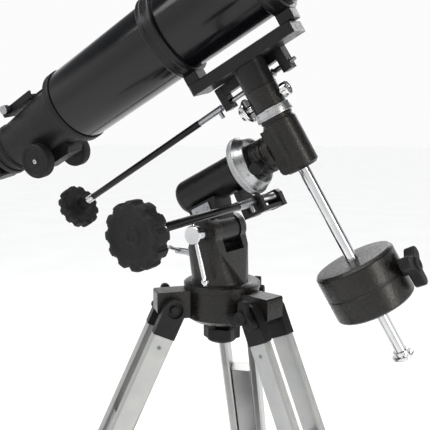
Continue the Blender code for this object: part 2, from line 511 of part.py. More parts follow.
f_sh = F_TUBE @ Matrix.Translation((-274.0, 0, 34.2)) @ Matrix(((0, 0, 1, 0), (1, 0, 0, 0), (0, 1, 0, 0), (0, 0, 0, 1)))
shoe = [(-14, 0), (14, 0), (14, 8.2), (10.5, 8.2), (12.0, 3.4), (-12.0, 3.4), (-10.5, 8.2), (-14, 8.2)]
f_st = F_TUBE @ Matrix.Translation((-287.0, 0, 39.4)) @ Matrix.Rotation(rad(90), 4, "X")
node("finder_shoe", [prism(shoe, -26.0, 27.0, f_sh), cyl(1.9, 8.0, 19.0, 10, f_st), cyl(5.4, 15.4, 24.0, 14, f_st)], "black_plastic")
node("drawtube", [lathe([(16.2, -336.0), (27.5, -336.0), (27.5, -328.5), (25.7, -328.5), (25.7, -225.0), (23.6, -225.0), (23.6, -322.0), (16.2, -322.0)], 28, f_tx)], "black_plastic",
     axis=tuple(F_TUBE @ Vector((FOCUS_Q, 0, 0))))
prof = [(-345.0, -20), (-345.0, 22.5), (-384.0, 22.5), (-386.0, 20), (-386.0, 2), (-364, -22), (-347, -22)]
m_y = F_TUBE @ Matrix(((1, 0, 0, 0), (0, 0, 1, 0), (0, 1, 0, 0), (0, 0, 0, 1)))
f_ey = F_TUBE @ Matrix.Translation((-365.0, 0, 0))
node("star_diagonal", [prism(prof, -19.0, 19.0, m_y), cyl(15.85, -347.0, -323.0, 28, f_tx), cyl(18.3, 20.0, 42.0, 28, f_ey)], "black_plastic",
     [cyl(16.1, 28.0, 50.0, 28, f_ey)], axis=tuple(F_TUBE @ Vector((-336, 0, 0))))
node("eyepiece", [lathe([(0, 30.0), (15.8, 30.0), (15.8, 42.4), (18.2, 42.4), (18.2, 61.0), (20.4, 63.0), (20.4, 73.5), (18.8, 75.0), (12.5, 75.0), (10.0, 72.0), (0, 71.6)], 20, f_ey)],
     "black_plastic", axis=tuple(f_ey.translation))
node("dew_shield", [lathe([(43.0, 466.0), (48.5, 466.0), (DEW_R, 468.0), (DEW_R, 575.0), (47.0, 575.0), (47.0, 471.0), (43.0, 471.0)], 36, f_tx)], "tube_gloss")
node("objective_cell", [lathe([(38.5, 478.2), (46.6, 478.2), (46.6, 490.0), (41.0, 490.0), (41.0, 486.0), (38.5, 486.0)], 32, f_tx)], "black_plastic")
node("objective_lens", [lathe([(0, 486.3), (40.6, 486.3), (40.6, 489.0), (30.0, 491.3), (15.0, 492.6), (0, 493.0)], 28, f_tx)], "glass")
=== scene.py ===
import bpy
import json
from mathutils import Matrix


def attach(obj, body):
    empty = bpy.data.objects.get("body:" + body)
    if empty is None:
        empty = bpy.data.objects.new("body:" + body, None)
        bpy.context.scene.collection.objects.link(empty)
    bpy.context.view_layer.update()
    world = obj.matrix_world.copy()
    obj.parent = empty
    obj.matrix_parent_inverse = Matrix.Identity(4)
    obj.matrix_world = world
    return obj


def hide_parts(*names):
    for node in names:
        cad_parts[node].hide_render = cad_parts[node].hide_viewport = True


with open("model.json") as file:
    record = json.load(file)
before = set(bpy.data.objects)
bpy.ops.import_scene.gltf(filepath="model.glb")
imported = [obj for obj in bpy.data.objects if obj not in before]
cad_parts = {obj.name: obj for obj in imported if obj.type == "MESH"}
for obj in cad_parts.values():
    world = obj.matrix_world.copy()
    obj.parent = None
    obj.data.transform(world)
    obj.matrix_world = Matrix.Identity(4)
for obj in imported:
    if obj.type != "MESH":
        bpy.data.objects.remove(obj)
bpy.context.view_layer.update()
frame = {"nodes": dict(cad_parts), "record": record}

import bpy
import bmesh
import json
import math
from mathutils import Vector, Matrix

rad = math.radians

# ---------------------------------------------------------------- frames, in millimetres about the tripod hub
SHIFT = Vector((-94.515, -27.375, 605.0))
LATITUDE, HOUR, DECL = 26.0, 12.8, -4.5
CAP_IN, CAP_OUT = 12.9, 23.9
LEG_AZ, LEG_TILT, HINGE_R, HINGE_Z = (-129.5, -9.5, 110.5), 25.0, 58.0, -18.0


def fr(o, x, z):
    x = Vector(x).normalized()
    z = Vector(z)
    z = (z - x * z.dot(x)).normalized()
    y = z.cross(x)
    m = Matrix.Identity(4)
    for i in range(3):
        m[i][0], m[i][1], m[i][2], m[i][3] = x[i], y[i], z[i], o[i]
    return m


def frz(o, z, x):
    z = Vector(z).normalized()
    x = Vector(x)
    return fr(o, (x - z * x.dot(z)).normalized(), z)


T = Matrix.Translation


def rot(d, a):
    return Matrix.Rotation(rad(d), 4, a)


L, H, D = rad(LATITUDE), rad(HOUR), rad(DECL)
R0 = Vector((math.cos(L), 0, math.sin(L)))
U0 = Vector((-math.sin(L), 0, math.cos(L)))
YW, ZW = Vector((0, 1, 0)), Vector((0, 0, 1))
U = (U0 * math.cos(H) - YW * math.sin(H)).normalized()
M = R0.cross(U)
W = (R0 * math.cos(D) + M * math.sin(D)).normalized()
C = Vector((81.6, 0, 157.2))
BAR = Vector((0, 0, 63.35))
F_RA0 = fr(C, R0, U0)
F_RA = fr(C, R0, U)
F_TUBE = fr(C + U * 156.5, W, U)
F_BAR = frz(BAR, YW, (1, 0, 0))
RWO = C - R0 * 57.0 - U0 * 38.2
F_RW = frz(RWO, (-YW * math.cos(rad(3.5)) - U0 * math.sin(rad(3.5))), R0)
DWO = C + U * 70.5 - M * 22.8
F_DW = frz(DWO, (-R0 * math.cos(rad(2.1)) - U * math.sin(rad(2.1))), U)
f_ra = F_RA0 @ rot(90, "Y")
f_dx = F_RA @ rot(90, "Y")
f_tx = F_TUBE @ rot(90, "Y")


def leg_frame(az):
    a, t = rad(az), rad(LEG_TILT)
    out = Vector((math.cos(a), math.sin(a), 0))
    return fr(out * HINGE_R + ZW * HINGE_Z, out * math.cos(t) + ZW * math.sin(t), ZW * math.cos(t) - out * math.sin(t))


# ---------------------------------------------------------------- materials
def principled(name, base, metal, rough, coat=0.0, spec=0.5):
    m = bpy.data.materials.new(name)
    m.use_nodes = True
    nt = m.node_tree
    b = nt.nodes["Principled BSDF"]
    b.inputs["Base Color"].default_value = (*base, 1)
    b.inputs["Metallic"].default_value = metal
    b.inputs["Roughness"].default_value = rough
    b.inputs["Specular IOR Level"].default_value = spec
    if coat:
        b.inputs["Coat Weight"].default_value = coat
        b.inputs["Coat Roughness"].default_value = 0.06
        b.inputs["Coat IOR"].default_value = 1.35
    tc = nt.nodes.new("ShaderNodeTexCoord")
    return m, nt, b, tc.outputs["Object"]


def noise(nt, vec, scale, detail=3.0, rough=0.5, stretch=None):
    if stretch:
        mp = nt.nodes.new("ShaderNodeMapping")
        mp.inputs["Scale"].default_value = stretch
        nt.links.new(vec, mp.inputs["Vector"])
        vec = mp.outputs["Vector"]
    n = nt.nodes.new("ShaderNodeTexNoise")
    n.inputs["Scale"].default_value = scale
    n.inputs["Detail"].default_value = detail
    n.inputs["Roughness"].default_value = rough
    nt.links.new(vec, n.inputs["Vector"])
    return n.outputs["Fac"]


def cells(nt, vec, scale):
    n = nt.nodes.new("ShaderNodeTexVoronoi")
    n.feature = "SMOOTH_F1"
    n.inputs["Scale"].default_value = scale
    nt.links.new(vec, n.inputs["Vector"])
    return n.outputs["Distance"]


def remap(nt, fac, lo, hi, a=0.3, z=0.7):
    n = nt.nodes.new("ShaderNodeMapRange")
    n.inputs["From Min"].default_value = a
    n.inputs["From Max"].default_value = z
    n.inputs["To Min"].default_value = lo
    n.inputs["To Max"].default_value = hi
    nt.links.new(fac, n.inputs["Value"])
    return n.outputs["Result"]


def ramp(nt, fac, stops):
    n = nt.nodes.new("ShaderNodeValToRGB")
    e = n.color_ramp.elements
    while len(e) > 1:
        e.remove(e[-1])
    e[0].position, e[0].color = stops[0][0], (*stops[0][1], 1)
    for p, c in stops[1:]:
        k = e.new(p)
        k.color = (*c, 1)
    nt.links.new(fac, n.inputs["Fac"])
    return n.outputs["Color"]


def bump(nt, b, height, strength, dist):
    n = nt.nodes.new("ShaderNodeBump")
    n.inputs["Strength"].default_value = strength
    n.inputs["Distance"].default_value = dist
    nt.links.new(height, n.inputs["Height"])
    nt.links.new(n.outputs["Normal"], b.inputs["Normal"])


def paint():
    m, nt, b, v = principled("satin_black_paint", (0.004, 0.004, 0.0045), 0.0, 0.3, 0.0, 0.3)
    nt.links.new(ramp(nt, noise(nt, v, 60, 4), [(0.3, (0.003, 0.003, 0.0035)), (0.7, (0.006, 0.006, 0.0065))]), b.inputs["Base Color"])
    nt.links.new(remap(nt, noise(nt, v, 170, 5), 0.24, 0.38), b.inputs["Roughness"])
    bump(nt, b, noise(nt, v, 1400, 3), 0.18, 0.0002)
    return m


def hammer():
    m, nt, b, v = principled("hammertone", (0.01, 0.009, 0.008), 0.1, 0.3, 0.15, 0.35)
    c = cells(nt, v, 980)
    nt.links.new(ramp(nt, c, [(0.08, (0.040, 0.032, 0.024)), (0.26, (0.009, 0.008, 0.007)), (0.7, (0.003, 0.003, 0.003))]), b.inputs["Base Color"])
    nt.links.new(remap(nt, noise(nt, v, 300, 4), 0.22, 0.42), b.inputs["Roughness"])
    bump(nt, b, c, 0.5, 0.0004)
    return m


def gloss():
    m, nt, b, v = principled("gloss_black_enamel", (0.003, 0.003, 0.004), 0.0, 0.14, 0.2, 0.32)
    nt.links.new(ramp(nt, noise(nt, v, 9, 3), [(0.3, (0.002, 0.002, 0.003)), (0.7, (0.004, 0.004, 0.005))]), b.inputs["Base Color"])
    nt.links.new(remap(nt, noise(nt, v, 40, 5, 0.65), 0.12, 0.22), b.inputs["Roughness"])
    bump(nt, b, noise(nt, v, 420, 2), 0.05, 0.0003)
    return m


def plastic(name, lo, hi, scale, strength, r0, r1):
    m, nt, b, v = principled(name, lo, 0.0, r0, 0.0, 0.25)
    nt.links.new(ramp(nt, noise(nt, v, 80, 4), [(0.3, lo), (0.7, hi)]), b.inputs["Base Color"])
    nt.links.new(remap(nt, noise(nt, v, 260, 4), r0, r1), b.inputs["Roughness"])
    bump(nt, b, noise(nt, v, scale, 3, 0.6), strength, 0.0003)
    return m


def metal(name, lo, hi, r0, r1, stretch=None, scale=700, strength=0.06, metallic=1.0):
    m, nt, b, v = principled(name, lo, metallic, r0)
    n = noise(nt, v, scale, 4, 0.6, stretch)
    nt.links.new(ramp(nt, noise(nt, v, 55, 4), [(0.3, lo), (0.7, hi)]), b.inputs["Base Color"])
    nt.links.new(remap(nt, n, r0, r1), b.inputs["Roughness"])
    bump(nt, b, n, strength, 0.0002)
    return m


def lens():
    m, nt, b, v = principled("coated_glass", (0.02, 0.03, 0.05), 0.0, 0.03, 0.8)
    b.inputs["Transmission Weight"].default_value = 0.75
    b.inputs["IOR"].default_value = 1.5
    nt.links.new(ramp(nt, noise(nt, v, 14, 2), [(0.3, (0.20, 0.24, 0.46)), (0.7, (0.30, 0.22, 0.48))]), b.inputs["Base Color"])
    nt.links.new(remap(nt, noise(nt, v, 50, 3), 0.02, 0.05), b.inputs["Roughness"])
    return m


# dark print colour for the dial marks, also used as painted shade in the screw cross recesses
def ink_and_recess_shade():
    m, nt, b, v = principled("dial_ink_and_recess_shade", (0.02, 0.02, 0.02), 0.0, 0.5)
    nt.links.new(ramp(nt, noise(nt, v, 600, 3), [(0.3, (0.012, 0.012, 0.012)), (0.7, (0.04, 0.04, 0.04))]), b.inputs["Base Color"])
    nt.links.new(remap(nt, noise(nt, v, 900, 2), 0.4, 0.6), b.inputs["Roughness"])
    return m


MT = {
    "black_paint": paint(),
    "hammertone": hammer(),
    "tube_gloss": gloss(),
    "black_plastic": plastic("black_plastic_grain", (0.004, 0.004, 0.0045), (0.008, 0.008, 0.0085), 1500, 0.35, 0.36, 0.52),
    "knob": plastic("matt_knob", (0.005, 0.005, 0.0055), (0.009, 0.009, 0.0095), 1800, 0.5, 0.48, 0.66),
    "sleeve": plastic("gloss_sleeve", (0.003, 0.003, 0.0035), (0.006, 0.006, 0.0065), 900, 0.08, 0.12, 0.22),
    "rubber": plastic("rubber_matt", (0.007, 0.007, 0.007), (0.014, 0.014, 0.0135), 1100, 0.5, 0.66, 0.85),
    "chrome": metal("chrome_plate", (0.58, 0.59, 0.61), (0.70, 0.70, 0.70), 0.05, 0.14, None, 300, 0.02),
    "steel": metal("steel_turned", (0.26, 0.27, 0.29), (0.40, 0.40, 0.41), 0.22, 0.36, None, 900, 0.08),
    "silver_dial": metal("dial_satin", (0.38, 0.39, 0.41), (0.50, 0.50, 0.49), 0.24, 0.38, None, 1200, 0.06),
    "aluminium": metal("leg_aluminium", (0.40, 0.41, 0.41), (0.46, 0.46, 0.45), 0.28, 0.38, (1.0, 1.0, 0.03), 1500, 0.10),
    "glass": lens(),
    "lining": plastic("matt_lining", (0.006, 0.006, 0.006), (0.012, 0.012, 0.012), 1200, 0.7, 0.85, 0.97),
    "ink_and_recess_shade": ink_and_recess_shade(),
}

# carried-over CAD nodes: material, welded edges and small rounded corners
SLOT = {s["node"]: s["material_slot"] for s in frame["record"]["subparts"]}
BEV = {"hammertone": 0.0009, "black_paint": 0.0007, "black_plastic": 0.0006, "aluminium": 0.0003, "rubber": 0.0008, "chrome": 0.0003, "steel": 0.00025}
LIGHT_BEV = {"latitude_plate": 0.00012, "accessory_tray": 0.0008, "star_diagonal": 0.0010}
for nm, ob in frame["nodes"].items():
    ob.data.materials.clear()
    ob.data.materials.append(MT[SLOT[nm]])
    w = ob.modifiers.new("weld", "WELD")
    w.merge_threshold = 0.00001
    b = ob.modifiers.new("round", "BEVEL")
    b.width = LIGHT_BEV.get(nm, BEV.get(SLOT[nm], 0.0003))
    b.segments = 2
    b.limit_method = "ANGLE"
    b.angle_limit = rad(34)
    b.harden_normals = False
    b.use_clamp_overlap = True
    ob.data.shade_smooth()
    sm = ob.modifiers.new("normals", "WEIGHTED_NORMAL")
    sm.keep_sharp = True


# ---------------------------------------------------------------- shapes
def place(verts, faces, at):
    m = at if at is not None else Matrix.Identity(4)
    return [m @ Vector(v) for v in verts], faces


def fillet(pts, r):
    """Profile with its corners rounded by short arcs."""
    out = [pts[0]] if pts[0][0] < 1e-9 else []
    n = len(pts)
    closed = pts[0][0] > 1e-9
    rng = range(n) if closed else range(1, n - 1)
    for i in rng:
        v, a, c = Vector(pts[i]), Vector(pts[i - 1]), Vector(pts[(i + 1) % n])
        da, dc = a - v, c - v
        t = min(r, da.length * 0.42, dc.length * 0.42)
        if da.length < 1e-6 or dc.length < 1e-6:
            continue
        bend = da.normalized().dot(dc.normalized())
        if bend < -0.985 or t < 0.02:
            out.append(tuple(v))
            continue
        p0, p2 = v + da.normalized() * t, v + dc.normalized() * t
        for k in (0.0, 0.25, 0.5, 0.75, 1.0):
            q = p0 * (1 - k) ** 2 + v * (2 * k * (1 - k)) + p2 * k ** 2
            out.append((q.x, q.y))
    if not closed:
        out.append(pts[-1])
    return out


def lathe(profile, seg=96, at=None, r=0.4, wobble=None):
    """wobble(profile index, angle) gives a radius offset, for knurls and flutes."""
    pts = fillet(profile, r) if r else profile
    verts, rings = [], []
    for i, (rr, z) in enumerate(pts):
        if rr < 1e-9:
            rings.append([len(verts)])
            verts.append((0, 0, z))
        else:
            rings.append(list(range(len(verts), len(verts) + seg)))
            for k in range(seg):
                a = 2 * math.pi * k / seg
                q = rr + (wobble(rr, z, k) if wobble else 0.0)
                verts.append((q * math.cos(a), q * math.sin(a), z))
    faces = []
    n = len(rings)
    closed = pts[0][0] > 1e-9
    for i in range(n if closed else n - 1):
        a, b = rings[i], rings[(i + 1) % n]
        for k in range(seg):
            k2 = (k + 1) % seg
            if len(a) == 1 and len(b) == 1:
                continue
            if len(a) == 1:
                faces.append((a[0], b[k2], b[k]))
            elif len(b) == 1:
                faces.append((a[k], a[k2], b[0]))
            else:
                faces.append((a[k], a[k2], b[k2], b[k]))
    return place(verts, faces, at)


def prism(poly, z0, z1, at=None):
    n = len(poly)
    v = [(x, y, z0) for x, y in poly] + [(x, y, z1) for x, y in poly]
    f = [tuple(range(n))[::-1], tuple(range(n, 2 * n))] + [(k, (k + 1) % n, n + (k + 1) % n, n + k) for k in range(n)]
    return place(v, f, at)


def box(x0, x1, y0, y1, z0, z1, at=None):
    return prism([(x0, y0), (x1, y0), (x1, y1), (x0, y1)], z0, z1, at)


def hull(points, at=None):
    bm = bmesh.new()
    for p in points:
        bm.verts.new(p)
    bmesh.ops.convex_hull(bm, input=bm.verts)
    bmesh.ops.delete(bm, geom=[v for v in bm.verts if not v.link_faces], context="VERTS")
    bmesh.ops.dissolve_limit(bm, angle_limit=rad(0.5), verts=bm.verts, edges=bm.edges)
    bm.verts.index_update()
    v = [tuple(x.co) for x in bm.verts]
    f = [tuple(x.index for x in g.verts) for g in bm.faces]
    bm.free()
    return place(v, f, at)


def piece(name, solids, mat, body, replaces=(), bevel=0.0, angle=35):
    verts, faces = [], []
    for v, f in solids:
        o = len(verts)
        verts += [(p + SHIFT) * 0.001 for p in v]
        faces += [tuple(i + o for i in g) for g in f]
    me = bpy.data.meshes.new(name)
    me.from_pydata(verts, [], faces)
    bm = bmesh.new()
    bm.from_mesh(me)
    bmesh.ops.recalc_face_normals(bm, faces=bm.faces)
    bm.to_mesh(me)
    bm.free()
    me.shade_smooth()
    me.set_sharp_from_angle(angle=rad(angle))
    me.materials.append(MT[mat])
    ob = bpy.data.objects.new(name, me)
    bpy.context.scene.collection.objects.link(ob)
    if bevel:
        b = ob.modifiers.new("round", "BEVEL")
        b.width = bevel * 0.001
        b.segments = 3
        b.limit_method = "ANGLE"
        b.angle_limit = rad(34)
        w = ob.modifiers.new("normals", "WEIGHTED_NORMAL")
        w.keep_sharp = True
    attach(ob, body)
    if replaces:
        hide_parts(*replaces)
    return ob


def ridges(r0, depth, period):
    """Axial ridges on every surface outside radius r0."""
    return lambda rr, z, k: (-depth if (k % period) < period / 2 else 0.0) if rr > r0 else 0.0


def screw(at, r=3.4, h=1.5, name="screw", body="tripod", mat="steel"):
    """Pan-head screw standing on z=0; its cross recess is not cut but painted as a dark cross: painted shade."""
    arms = []
    head = lathe([(0, -0.4), (r, -0.4), (r, h * 0.35), (r * 0.72, h * 0.86), (0.001 + r * 0.2, h), (0, h)], 32, at, 0.25)
    ob = piece(name, [head], mat, body)
    # painted shade: a flat dark cross laid just proud of the head stands in for the shadowed hollow of the cross
    # recess
    cross = [box(-r * 0.62, r * 0.62, -r * 0.13, r * 0.13, h * 0.55, h + 0.02, at), box(-r * 0.13, r * 0.13, -r * 0.62, r * 0.62, h * 0.55, h + 0.025, at)]
    piece(name + "_recess_painted_shade", cross, "ink_and_recess_shade", body)
    return ob


# ---------------------------------------------------------------- optical tube
TA = "tube_assembly"
piece("tube_shell", [lathe([(41.0, -203.7), (42.5, -203.7), (42.5, 477.7), (41.0, 477.7)], 160, f_tx, 0.3)], "tube_gloss", TA, ["main_tube"])
piece("dew_shield_shell", [lathe([(43.0, 466.0), (48.5, 466.0), (50.0, 467.6), (50.0, 470.5), (49.5, 471.0), (49.5, 571.0), (50.0, 571.6), (50.0, 575.0), (47.3, 575.0), (47.3, 471.0), (43.0, 471.0)], 160, f_tx, 0.5)],
      "tube_gloss", TA, ["dew_shield"])
lining = [(47.35, 472.0)]
for k in range(22):
    q = 493.0 + 3.5 * k
    lining += [(47.35, q), (47.0, q + 0.4), (47.0, q + 1.4), (47.35, q + 1.8)]
lining += [(47.35, 573.0), (47.6, 573.0), (47.6, 472.0)]
piece("dew_shield_lining", [lathe(lining, 96, f_tx, 0)], "lining", TA)
piece("lens_ring", [lathe([(38.5, 478.2), (46.6, 478.2), (46.6, 490.0), (41.0, 490.0), (41.0, 488.0), (40.2, 487.4), (40.2, 486.6), (38.5, 486.0)], 128, f_tx, 0.3)], "black_plastic", TA, ["objective_cell"])
piece("front_lens", [lathe([(0, 486.3), (40.0, 486.3), (40.6, 489.0), (36.0, 490.3), (30.0, 491.3), (22.0, 492.1), (15.0, 492.6), (7.0, 492.9), (0, 493.0)], 96, f_tx, 0)], "glass", TA, ["objective_lens"])
piece("tube_end_cap", [lathe([(30.0, -214.0), (42.2, -214.0), (44.0, -212.4), (44.0, -206.4), (43.6, -205.8), (44.0, -205.2), (44.0, -204.0), (40.6, -204.0), (40.6, -190.0), (37.0, -190.0), (37.0, -210.0), (30.0, -210.0)], 128, f_tx, 0.5)],
      "black_plastic", TA, ["rear_cell"])
for k, a in enumerate((-100, 20, 140)):
    screw(f_tx @ T((0, 0, -208.0)) @ rot(a, "Z") @ rot(90, "Y") @ T((0, 0, 42.6)), 2.9, 1.3, "end_cap_screw_%d" % (k + 1), TA, "steel")
for tag, q in (("rear", -57.0), ("front", 57.0)):
    f_rg = F_TUBE @ T((q, 0, 50.5)) @ rot(90, "X")
    ring = [(42.55, q - 8.5), (46.2, q - 8.5), (46.8, q - 7.4), (46.8, q - 3.2), (46.3, q - 2.6), (46.3, q + 2.6), (46.8, q + 3.2), (46.8, q + 7.4), (46.2, q + 8.5), (42.55, q + 8.5)]
    piece("ring_band_" + tag, [lathe(ring, 128, f_tx, 0.4)], "black_paint", TA, ["tube_ring_" + tag])
    piece("ring_foot_" + tag, [box(q - 8.0, q + 8.0, -11, 11, -56.2, -45.2, F_TUBE), box(q - 6.5, q + 6.5, -7.5, -0.4, 46.0, 56.0, F_TUBE), box(q - 6.5, q + 6.5, 0.4, 7.5, 46.0, 56.0, F_TUBE)], "black_paint", TA, (), 0.9)
    piece("ring_screw_" + tag, [lathe([(0, 5), (2.2, 5), (2.2, 10.6), (6.0, 10.6), (6.4, 11.2), (6.4, 17.4), (5.6, 18.0), (3.4, 18.0), (3.2, 17.4), (0, 17.4)], 96, f_rg, 0.25, ridges(5.9, 0.35, 4))], "steel", TA)
    piece("ring_felt_" + tag, [lathe([(42.5, q - 7.6), (42.9, q - 7.6), (42.9, q + 7.6), (42.5, q + 7.6)], 96, f_tx, 0)], "lining", TA)

# ---------------------------------------------------------------- focuser
f_pn = F_TUBE @ T((-268.0, 0, -35.5)) @ rot(90, "X")
piece("focuser_casting", [lathe([(26.1, -318.0), (30.2, -318.0), (31.0, -317.2), (31.0, -314.6), (30.3, -314.0), (30.3, -313.2), (31.0, -312.6), (30.6, -311.4), (29.5, -311.0), (33.5, -246.0), (35.9, -215.2), (35.9, -214.4), (26.1, -214.4)], 128, f_tx, 0.6),
                          hull([(x, y, z) for y in (-14.0, 14.0) for x, z in ((-292, -27), (-292, -40), (-286, -44), (-242, -44), (-236, -38), (-236, -27))], F_TUBE)],
      "black_plastic", TA, ["focuser_body"], 0.7)
for k, (x, y) in enumerate(((-284, -9), (-284, 9), (-246, -9), (-246, 9))):
    screw(F_TUBE @ T((x, y, -43.7)) @ rot(180, "X"), 2.0, 0.28, "focuser_screw_%d" % (k + 1), TA, "steel")
kp = [(0, -41.0), (5.4, -41.0), (6.0, -40.2), (15.0, -40.2), (16.2, -41.4), (18.8, -41.4), (20.0, -40.2), (20.0, -30.2), (19.0, -28.8), (12.5, -28.5), (8.0, -27.6), (8.0, -17.0), (3.0, -17.0)]
piece("focus_wheels", [lathe(kp + [(r, -z) for r, z in reversed(kp)], 192, f_pn, 0.4, ridges(19.4, 0.42, 4))], "knob", "focus_wheel", ["focus_knobs"])
for k, s in enumerate((1, -1)):
    screw(f_pn @ T((0, 0, 40.2 * s)) @ (rot(0, "X") if s > 0 else rot(180, "X")), 3.2, 1.1, "focus_wheel_screw_%d" % (k + 1), "focus_wheel", "chrome")
piece("draw_flange", [lathe([(16.2, -336.0), (26.8, -336.0), (27.5, -335.2), (27.5, -329.3), (26.8, -328.5), (25.7, -328.5), (25.7, -225.0), (23.6, -225.0), (23.6, -322.0), (16.2, -322.0)], 128, f_tx, 0.4, None)], "black_plastic", "focus_tube", ["drawtube"])
m_sh = F_TUBE @ T((-274.0, 0, 34.2)) @ Matrix(((0, 0, 1, 0), (1, 0, 0, 0), (0, 1, 0, 0), (0, 0, 0, 1)))
piece("shoe", [prism([(-14, 0), (14, 0), (14, 8.2), (10.5, 8.2), (12.0, 3.4), (-12.0, 3.4), (-10.5, 8.2), (-14, 8.2)], -26.0, 27.0, m_sh)], "black_plastic", TA, ["finder_shoe"], 0.4)
f_st = F_TUBE @ T((-287.0, 0, 39.4)) @ rot(90, "X")
piece("shoe_screw", [lathe([(0, 8.0), (1.9, 8.0), (1.9, 15.4), (5.0, 15.4), (5.4, 15.9), (5.4, 23.4), (4.9, 24.0), (0, 24.0)], 80, f_st, 0.2, ridges(4.8, 0.4, 4))], "steel", TA)
f_ey = F_TUBE @ T((-365.0, 0, 0))
piece("eyepiece_barrel", [lathe([(0, 30.0), (15.8, 30.0), (15.8, 42.4), (18.0, 42.4), (18.4, 43.0), (18.2, 61.0), (20.4, 63.0), (20.4, 73.5), (18.8, 75.0), (12.5, 75.0), (10.0, 72.0), (0, 71.6)], 128, f_ey, 0.5,
                                lambda rr, z, k: (-0.5 if k % 4 < 2 else 0.0) if (rr > 17.5 and 45 < z < 60) else 0.0)], "rubber", "eye_end", ["eyepiece"])
piece("eye_lens", [lathe([(0, 71.62), (9.6, 71.62), (9.6, 71.9), (5.0, 72.9), (0, 73.2)], 48, f_ey, 0)], "glass", "eye_end")
piece("eyepiece_band", [lathe([(18.25, 42.9), (18.55, 42.9), (18.55, 44.6), (18.25, 44.6)], 96, f_ey, 0)], "chrome", "eye_end")

# ---------------------------------------------------------------- polar axis
BODY = "polar_axis"
piece("polar_casting", [lathe([(0, -146.5), (13.0, -146.5), (16.4, -145.8), (18.6, -143.6), (19.7, -140.0), (19.7, -66.2), (19.2, -65.6), (19.2, -64.2), (19.7, -63.6), (19.7, -58.2), (18.0, -58.2), (18.0, -47.3), (8.4, -47.3), (8.4, -78.0), (0, -78.0)], 128, f_ra, 0.8),
                       hull([tuple(BAR + R0 * x + YW * y + U0 * z) for y in (-21.5, 10.5) for x, z in ((-14.5, 6), (14.0, 6), (20, 33), (-19, 33))]),
                       lathe([(6.36, -22.6), (16.2, -22.6), (16.2, 11.6), (6.36, 11.6)], 96, F_BAR, 0.5)],
      "black_paint", BODY, ["polar_housing"], 0.6)
piece("polar_end_plug", [lathe([(0, -146.9), (9.0, -146.9), (9.6, -146.2), (9.6, -144.0), (0, -144.0)], 64, f_ra @ T((0, 0, 0.4)), 0.3)], "knob", BODY)
rim = lambda rr, z, k: (-0.45 if (k % 3) == 0 else 0.0) if (rr > 31.2 and -57.6 < z < -51.6) else 0.0
piece("hour_dial", [lathe([(18.3, -57.8), (31.2, -57.8), (32.0, -57.0), (32.0, -52.6), (31.4, -51.8), (30.9, -51.2), (26.2, -41.9), (25.6, -41.2), (24.3, -41.2), (23.9, -42.0), (23.2, -46.5), (18.3, -47.0)], 360, f_ra, 0.25, rim)],
      "silver_dial", "hour_dial", ["hour_circle"])
cone_t = Vector((26.2 - 30.9, -41.9 + 51.2)).normalized()
ticks = []
for k in range(144):
    ln = 4.4 if k % 6 == 0 else (3.0 if k % 3 == 0 else 1.9)
    a = 2 * math.pi * k / 144
    fa = f_ra @ Matrix.Rotation(a, 4, "Z") @ T((30.9, 0, -51.2)) @ fr((0, 0, 0), (cone_t.x, 0, cone_t.y), (cone_t.y, 0, -cone_t.x))
    ticks.append(box(0.4, 0.4 + ln, -0.16, 0.16, -0.2, 0.05, fa))
piece("hour_dial_divisions", ticks, "ink_and_recess_shade", "hour_dial")


def numeral(text, size, at, name, body):
    cu = bpy.data.curves.new(name, "FONT")
    cu.body = text
    cu.size = size
    cu.extrude = 0.06
    cu.align_x = "CENTER"
    cu.align_y = "CENTER"
    ob = bpy.data.objects.new(name, cu)
    bpy.context.scene.collection.objects.link(ob)
    dg = bpy.context.evaluated_depsgraph_get()
    me = bpy.data.meshes.new_from_object(ob.evaluated_get(dg))
    bpy.data.objects.remove(ob, do_unlink=True)
    vs = [at @ v.co for v in me.vertices]
    return vs, [tuple(p.vertices) for p in me.polygons]


nums = []
for k in range(12):
    a = 2 * math.pi * k / 12
    at = f_ra @ Matrix.Rotation(a, 4, "Z") @ T((30.9 + cone_t.x * 7.4, 0, -51.2 + cone_t.y * 7.4)) @ fr((0, 0, 0), (cone_t.x, 0, cone_t.y), (cone_t.y, 0, -cone_t.x)) @ rot(90, "Z") @ T((0, 0, 0.0))
    nums.append(numeral(str(2 * k), 3.4, at, "n%d" % k, "hour_dial"))
piece("hour_dial_numbers", nums, "ink_and_recess_shade", "hour_dial")

# hour-axis slow motion
HD = "hour_drive"
piece("hour_worm_spindle", [lathe([(0, -49.0), (1.9, -49.0), (2.2, -48.6), (2.2, -38.4), (3.0, -38.4), (3.0, -28.6), (5.0, -28.6)] + [(4.2 if j % 2 else 5.0, -28.0 + 1.15 * j) for j in range(28)] + [(5.0, 4.9), (3.0, 4.9), (3.0, 14.0), (4.6, 14.0), (4.6, 46.0), (0, 46.0)], 48, F_RW, 0.15)],
      "steel", HD, ["hour_worm"])


def set_screw(at, name, body):
    piece(name, [lathe([(0, 2.6), (2.4, 2.6), (2.4, 10.2), (1.4, 10.2), (1.2, 9.2), (0, 9.2)], 32, at, 0.2)], "steel", body)


set_screw(F_RW @ T((0, 0, 20.0)) @ rot(90, "X"), "hour_shaft_screw", HD)


def sleeve(z0, z1, f, name, body, node):
    piece(name, [lathe([(0, z0), (3.7, z0), (4.0, z0 + 0.6), (4.0, z1 - 12.6), (0, z1 - 12.6)], 48, f, 0.3)], "sleeve", body, [node])
    fp = [(0, z1 - 13.0), (4.4, z1 - 13.0)] + [(4.7 if j % 2 else 4.25, z1 - 12.4 + 0.8 * j) for j in range(14)] + [(4.7, z1), (0, z1)]
    piece(name + "_ferrule", [lathe(fp, 48, f, 0.12)], "chrome", body)


